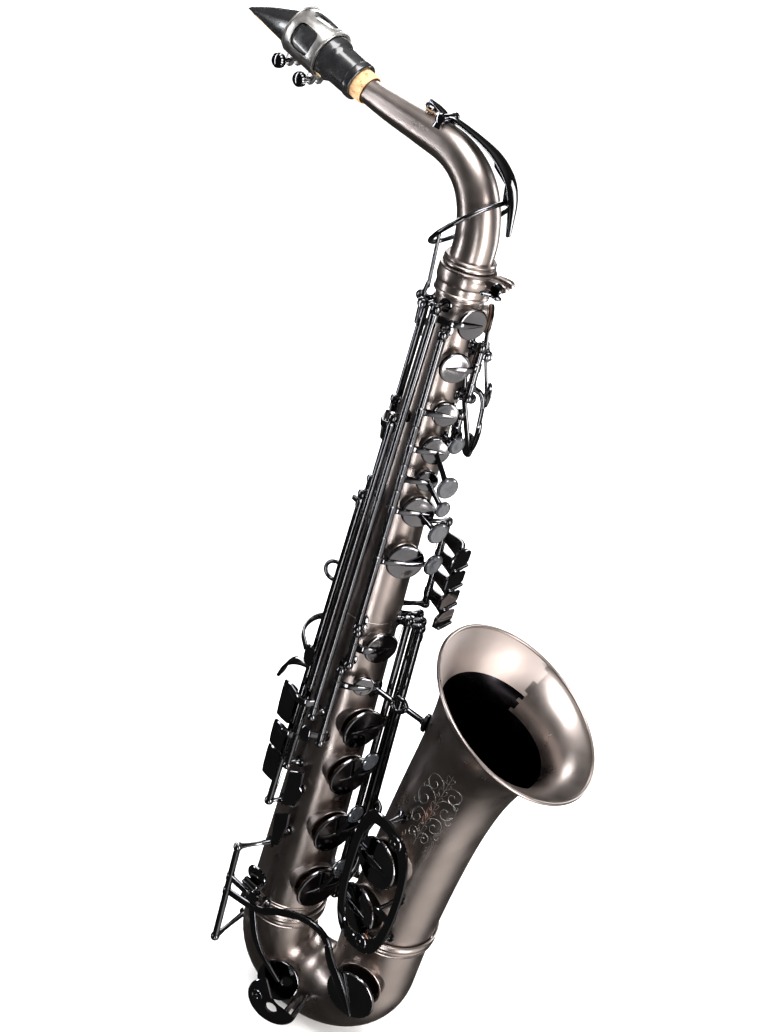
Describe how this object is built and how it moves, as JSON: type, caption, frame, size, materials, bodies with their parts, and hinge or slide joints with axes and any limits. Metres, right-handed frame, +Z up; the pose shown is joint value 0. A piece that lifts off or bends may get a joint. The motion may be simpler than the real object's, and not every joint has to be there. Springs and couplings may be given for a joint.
{
  "type": "alto saxophone",
  "caption": "Alto saxophone in black nickel with a curved neck, mouthpiece, conical body, bow, flared bell and sprung pivoting keys",
  "frame": {"origin": "centre of the strap ring on the back of the body tube", "axes": "+Z up the body tube, +X from the body tube towards the bell, +Y to the instrument's left side, away from the side keys"},
  "size_m": [0.3389, 0.1238, 0.6549],
  "materials": {
    "satin_body": "satin black nickel",
    "polished_key": "polished black nickel",
    "steel": "polished steel",
    "pewter": "satin pewter",
    "ebonite": "gloss black hard rubber",
    "cork": "natural cork",
    "cane": "cane"
  },
  "bodies": {
    "c_vent_key": {"c_vent_key": "polished_key"},
    "b_key": {"b_key": "polished_key"},
    "bis_key": {"bis_key": "polished_key"},
    "a_key": {"a_key": "polished_key"},
    "g_key": {"g_key": "polished_key"},
    "f_sharp_key": {"f_sharp_key": "polished_key"},
    "f_key": {"f_key": "polished_key"},
    "e_key": {"e_key": "polished_key"},
    "d_key": {"d_key": "polished_key"},
    "high_e_key": {"high_e_key": "polished_key"},
    "side_c_touch": {"side_c_touch": "polished_key"},
    "side_b_flat_touch": {"side_b_flat_touch": "polished_key"},
    "side_c_cup": {"side_c_cup": "polished_key"},
    "side_b_flat_cup": {"side_b_flat_cup": "polished_key"},
    "high_f_sharp_key": {"high_f_sharp_key": "polished_key"},
    "palm_f_key": {"palm_f_key": "polished_key"},
    "palm_e_flat_key": {"palm_e_flat_key": "polished_key"},
    "palm_d_key": {"palm_d_key": "polished_key"},
    "front_f_touch": {"front_f_touch": "polished_key"},
    "g_sharp_key": {"g_sharp_key": "polished_key"},
    "f_sharp_trill_key": {"f_sharp_trill_key": "polished_key"},
    "low_e_flat_key": {"low_e_flat_key": "polished_key"},
    "low_c_key": {"low_c_key": "polished_key"},
    "low_b_key": {"low_b_key": "polished_key"},
    "low_b_flat_key": {"low_b_flat_key": "polished_key"},
    "low_c_sharp_key": {"low_c_sharp_key": "polished_key"},
    "g_sharp_lever": {"g_sharp_lever": "polished_key"},
    "c_sharp_lever": {"c_sharp_lever": "polished_key"},
    "low_b_lever": {"low_b_lever": "polished_key"},
    "b_flat_lever": {"b_flat_lever": "polished_key"},
    "octave_thumb_lever": {"octave_thumb_lever": "polished_key"},
    "octave_pin_key": {"octave_pin_key": "polished_key"},
    "body_octave_key": {"body_octave_key": "polished_key"},
    "neck": {"neck_tube": "satin_body", "neck_cork": "cork"},
    "neck_octave_key": {"neck_octave_key": "polished_key"},
    "mouthpiece": {"mouthpiece": "ebonite", "reed": "cane", "ligature": "pewter"},
    "neck_screw": {"neck_screw": "polished_key"},
    "ligature_screw_near": {"ligature_screw_near": "polished_key"},
    "ligature_screw_tip": {"ligature_screw_tip": "polished_key"},
    "body": {"body_tube": "satin_body", "bow": "satin_body", "bell": "satin_body", "body_bow_ring": "satin_body", "bow_bell_ring": "satin_body", "bell_brace": "polished_key", "strap_ring": "polished_key", "thumb_hook": "polished_key", "thumb_rest": "polished_key", "side_guard_upper": "polished_key", "side_guard_lower": "polished_key", "bell_key_guard": "polished_key", "low_key_guard": "polished_key", "neck_receiver": "satin_body", "upper_stack_rod": "steel", "lower_stack_rod": "steel"}
  },
  "joints": [
    {"name": "c_vent_key_hinge", "type": "hinge", "parent": "body", "child": "c_vent_key", "pos_m": [0.03244, -0.02309, 0.181], "axis": [-0.0047, 0.0268, 0.9996], "range_deg": [0, 11], "stiffness_Nm_per_rad": 0.1, "springref_deg": -14.32},
    {"name": "b_key_hinge", "type": "hinge", "parent": "body", "child": "b_key", "pos_m": [0.03244, -0.02309, 0.181], "axis": [-0.0047, 0.0268, 0.9996], "range_deg": [0, 10], "stiffness_Nm_per_rad": 0.1, "springref_deg": -14.32},
    {"name": "bis_key_hinge", "type": "hinge", "parent": "body", "child": "bis_key", "pos_m": [0.03244, -0.02309, 0.181], "axis": [-0.0047, 0.0268, 0.9996], "range_deg": [0, 9], "stiffness_Nm_per_rad": 0.1, "springref_deg": -14.32},
    {"name": "a_key_hinge", "type": "hinge", "parent": "body", "child": "a_key", "pos_m": [0.03244, -0.02309, 0.181], "axis": [-0.0047, 0.0268, 0.9996], "range_deg": [0, 9], "stiffness_Nm_per_rad": 0.1, "springref_deg": -14.32},
    {"name": "g_key_hinge", "type": "hinge", "parent": "body", "child": "g_key", "pos_m": [0.03244, -0.02309, 0.181], "axis": [-0.0047, 0.0268, 0.9996], "range_deg": [0, 9], "stiffness_Nm_per_rad": 0.1, "springref_deg": -14.32},
    {"name": "f_sharp_key_hinge", "type": "hinge", "parent": "body", "child": "f_sharp_key", "pos_m": [0.05428, 0.00136, -0.01], "axis": [0.0272, 0.0014, -0.9996], "range_deg": [0, 8], "stiffness_Nm_per_rad": 0.1, "springref_deg": -14.32},
    {"name": "f_key_hinge", "type": "hinge", "parent": "body", "child": "f_key", "pos_m": [0.05428, 0.00136, -0.01], "axis": [0.0272, 0.0014, -0.9996], "range_deg": [0, 8], "stiffness_Nm_per_rad": 0.1, "springref_deg": -14.32},
    {"name": "e_key_hinge", "type": "hinge", "parent": "body", "child": "e_key", "pos_m": [0.05428, 0.00136, -0.01], "axis": [0.0272, 0.0014, -0.9996], "range_deg": [0, 8], "stiffness_Nm_per_rad": 0.1, "springref_deg": -14.32},
    {"name": "d_key_hinge", "type": "hinge", "parent": "body", "child": "d_key", "pos_m": [0.05428, 0.00136, -0.01], "axis": [0.0272, 0.0014, -0.9996], "range_deg": [0, 8], "stiffness_Nm_per_rad": 0.1, "springref_deg": -14.32},
    {"name": "high_e_key_hinge", "type": "hinge", "parent": "body", "child": "high_e_key", "pos_m": [0.02474, -0.02293, 0.193], "axis": [-0.0137, -0.0249, -0.9996], "range_deg": [0, 7], "stiffness_Nm_per_rad": 0.1, "springref_deg": -14.32},
    {"name": "side_c_touch_hinge", "type": "hinge", "parent": "body", "child": "side_c_touch", "pos_m": [0.01816, -0.02293, 0.124], "axis": [-0.0208, -0.02, -0.9996], "range_deg": [0, 6], "stiffness_Nm_per_rad": 0.1, "springref_deg": -14.32},
    {"name": "side_b_flat_touch_hinge", "type": "hinge", "parent": "body", "child": "side_b_flat_touch", "pos_m": [0.01165, -0.02065, 0.07], "axis": [-0.0244, -0.0148, -0.9996], "range_deg": [0, 6], "stiffness_Nm_per_rad": 0.1, "springref_deg": -14.32},
    {"name": "side_c_cup_hinge", "type": "hinge", "parent": "body", "child": "side_c_cup", "pos_m": [0.0068, 0.00458, 0.122], "axis": [-0.0266, 0.0057, -0.9996], "range_deg": [0, 9], "stiffness_Nm_per_rad": 0.1, "springref_deg": -14.32},
    {"name": "side_b_flat_cup_hinge", "type": "hinge", "parent": "body", "child": "side_b_flat_cup", "pos_m": [0.00543, 0.0053, 0.067], "axis": [-0.0265, 0.0061, -0.9996], "range_deg": [0, 9], "stiffness_Nm_per_rad": 0.1, "springref_deg": -14.32},
    {"name": "high_f_sharp_key_hinge", "type": "hinge", "parent": "body", "child": "high_f_sharp_key", "pos_m": [0.00732, 0.01026, 0.182], "axis": [0.0224, -0.0159, 0.9996], "range_deg": [0, 4], "stiffness_Nm_per_rad": 0.1, "springref_deg": -14.32},
    {"name": "palm_f_key_hinge", "type": "hinge", "parent": "body", "child": "palm_f_key", "pos_m": [0.0485, 0.0107, 0.168], "axis": [-0.4695, 0.8829, 0], "range_deg": [0, 7], "stiffness_Nm_per_rad": 0.1, "springref_deg": -14.32},
    {"name": "palm_e_flat_key_hinge", "type": "hinge", "parent": "body", "child": "palm_e_flat_key", "pos_m": [0.04022, 0.02052, 0.135], "axis": [-0.866, 0.5, 0], "range_deg": [0, 6], "stiffness_Nm_per_rad": 0.1, "springref_deg": -14.32},
    {"name": "palm_d_key_hinge", "type": "hinge", "parent": "body", "child": "palm_d_key", "pos_m": [0.04895, -0.00144, 0.174], "axis": [-0.0271, 0.0019, 0.9996], "range_deg": [0, 8], "stiffness_Nm_per_rad": 0.1, "springref_deg": -14.32},
    {"name": "front_f_touch_hinge", "type": "hinge", "parent": "body", "child": "front_f_touch", "pos_m": [0.04945, -0.00526, 0.134], "axis": [0.0264, -0.0066, -0.9996], "range_deg": [0, 8], "stiffness_Nm_per_rad": 0.1, "springref_deg": -14.32},
    {"name": "g_sharp_key_hinge", "type": "hinge", "parent": "body", "child": "g_sharp_key", "pos_m": [0.03329, -0.02533, -0.016], "axis": [0.0052, -0.0267, -0.9996], "range_deg": [0, 9], "stiffness_Nm_per_rad": 0.1, "springref_deg": -14.32},
    {"name": "f_sharp_trill_key_hinge", "type": "hinge", "parent": "body", "child": "f_sharp_trill_key", "pos_m": [0.03033, -0.02803, -0.045], "axis": [0.0019, -0.0271, -0.9996], "range_deg": [0, 8], "stiffness_Nm_per_rad": 0.1, "springref_deg": -14.32},
    {"name": "low_e_flat_key_hinge", "type": "hinge", "parent": "body", "child": "low_e_flat_key", "pos_m": [0.00887, -0.02958, -0.252], "axis": [-0.9272, 0.3746, 0], "range_deg": [0, 6], "stiffness_Nm_per_rad": 0.15, "springref_deg": -14.32},
    {"name": "low_c_key_hinge", "type": "hinge", "parent": "body", "child": "low_c_key", "pos_m": [-0.00215, -0.03769, -0.207], "axis": [-0.0014, -0.0011, 1], "range_deg": [0, 5], "stiffness_Nm_per_rad": 0.25, "springref_deg": -14.32},
    {"name": "low_b_key_hinge", "type": "hinge", "parent": "body", "child": "low_b_key", "pos_m": [0.06131, 0.0076, -0.016], "axis": [-0.0312, -0.0072, 0.9995], "range_deg": [0, 6], "stiffness_Nm_per_rad": 0.25, "springref_deg": -14.32},
    {"name": "low_b_flat_key_hinge", "type": "hinge", "parent": "body", "child": "low_b_flat_key", "pos_m": [0.05875, 0.01482, -0.016], "axis": [-0.0297, -0.0145, 0.9995], "range_deg": [0, 5], "stiffness_Nm_per_rad": 0.25, "springref_deg": -14.32},
    {"name": "low_c_sharp_key_hinge", "type": "hinge", "parent": "body", "child": "low_c_sharp_key", "pos_m": [0.05388, 0.02141, -0.016], "axis": [-0.0208, -0.0175, 0.9996], "range_deg": [0, 6], "stiffness_Nm_per_rad": 0.25, "springref_deg": -14.32},
    {"name": "g_sharp_lever_hinge", "type": "hinge", "parent": "body", "child": "g_sharp_lever", "pos_m": [0.05317, 0.02395, 0.0514], "axis": [0.0196, 0.0189, -0.9996], "range_deg": [0, 7], "stiffness_Nm_per_rad": 0.1, "springref_deg": -14.32},
    {"name": "c_sharp_lever_hinge", "type": "hinge", "parent": "body", "child": "c_sharp_lever", "pos_m": [0.05317, 0.02395, 0.0514], "axis": [0.0196, 0.0189, -0.9996], "range_deg": [0, 7], "stiffness_Nm_per_rad": 0.1, "springref_deg": -14.32},
    {"name": "low_b_lever_hinge", "type": "hinge", "parent": "body", "child": "low_b_lever", "pos_m": [0.05317, 0.02395, 0.0514], "axis": [0.0196, 0.0189, -0.9996], "range_deg": [0, 7], "stiffness_Nm_per_rad": 0.1, "springref_deg": -14.32},
    {"name": "b_flat_lever_hinge", "type": "hinge", "parent": "body", "child": "b_flat_lever", "pos_m": [0.05317, 0.02395, 0.0514], "axis": [0.0196, 0.0189, -0.9996], "range_deg": [0, 7], "stiffness_Nm_per_rad": 0.1, "springref_deg": -14.32},
    {"name": "octave_thumb_lever_hinge", "type": "hinge", "parent": "body", "child": "octave_thumb_lever", "pos_m": [0.02073, 0.02205, 0.122], "axis": [-0.829, -0.5592, 0], "range_deg": [0, 6], "stiffness_Nm_per_rad": 0.1, "springref_deg": -14.32},
    {"name": "octave_pin_key_hinge", "type": "hinge", "parent": "body", "child": "octave_pin_key", "pos_m": [0.00816, -0.00395, 0.19], "axis": [0.4695, -0.8829, 0], "range_deg": [0, 3.5], "stiffness_Nm_per_rad": 0.1, "springref_deg": -14.32},
    {"name": "body_octave_key_hinge", "type": "hinge", "parent": "body", "child": "body_octave_key", "pos_m": [0.02395, 0.0208, 0.151], "axis": [-0.0057, 0.0266, -0.9996], "range_deg": [0, 9], "stiffness_Nm_per_rad": 0.05, "springref_deg": -14.32},
    {"name": "neck_swivel", "type": "hinge", "parent": "body", "child": "neck", "pos_m": [0.02837, 0, 0.218], "axis": [0, 0, 1], "range_deg": [-20, 20]},
    {"name": "neck_octave_key_hinge", "type": "hinge", "parent": "neck", "child": "neck_octave_key", "pos_m": [-0.00755, 0.00764, 0.28173], "axis": [0.2079, 0.9781, 0], "range_deg": [0, 4], "stiffness_Nm_per_rad": 0.1, "springref_deg": -14.32},
    {"name": "mouthpiece_slide", "type": "slide", "parent": "neck", "child": "mouthpiece", "axis": [-0.9405, 0.1999, 0.2747], "range_m": [-0.006, 0.014]},
    {"name": "neck_screw_turn", "type": "hinge", "parent": "body", "child": "neck_screw", "pos_m": [0.04987, 0, 0.2105], "axis": [0, -1, 0], "continuous": true},
    {"name": "ligature_screw_near_turn", "type": "hinge", "parent": "mouthpiece", "child": "ligature_screw_near", "pos_m": [-0.09611, 0.02646, 0.2722], "axis": [-0.2079, -0.9781, 0], "continuous": true},
    {"name": "ligature_screw_tip_turn", "type": "hinge", "parent": "mouthpiece", "child": "ligature_screw_tip", "pos_m": [-0.11257, 0.02996, 0.27701], "axis": [-0.2079, -0.9781, 0], "continuous": true}
  ],
  "couplings": [
    {"joint": "c_vent_key_hinge", "follows": "b_key_hinge", "ratio": 1.1},
    {"joint": "f_sharp_key_hinge", "follows": "f_key_hinge", "ratio": 1},
    {"joint": "side_c_cup_hinge", "follows": "side_c_touch_hinge", "ratio": 1.5},
    {"joint": "side_b_flat_cup_hinge", "follows": "side_b_flat_touch_hinge", "ratio": 1.5},
    {"joint": "g_sharp_key_hinge", "follows": "g_sharp_lever_hinge", "ratio": 1.28},
    {"joint": "low_c_sharp_key_hinge", "follows": "c_sharp_lever_hinge", "ratio": 0.85},
    {"joint": "low_b_key_hinge", "follows": "low_b_lever_hinge", "ratio": 0.85},
    {"joint": "low_b_flat_key_hinge", "follows": "b_flat_lever_hinge", "ratio": 0.71},
    {"joint": "octave_pin_key_hinge", "follows": "octave_thumb_lever_hinge", "ratio": 0.57},
    {"joint": "neck_octave_key_hinge", "follows": "octave_thumb_lever_hinge", "ratio": 0.66},
    {"joint": "body_octave_key_hinge", "follows": "octave_thumb_lever_hinge", "ratio": 1.5}
  ]
}
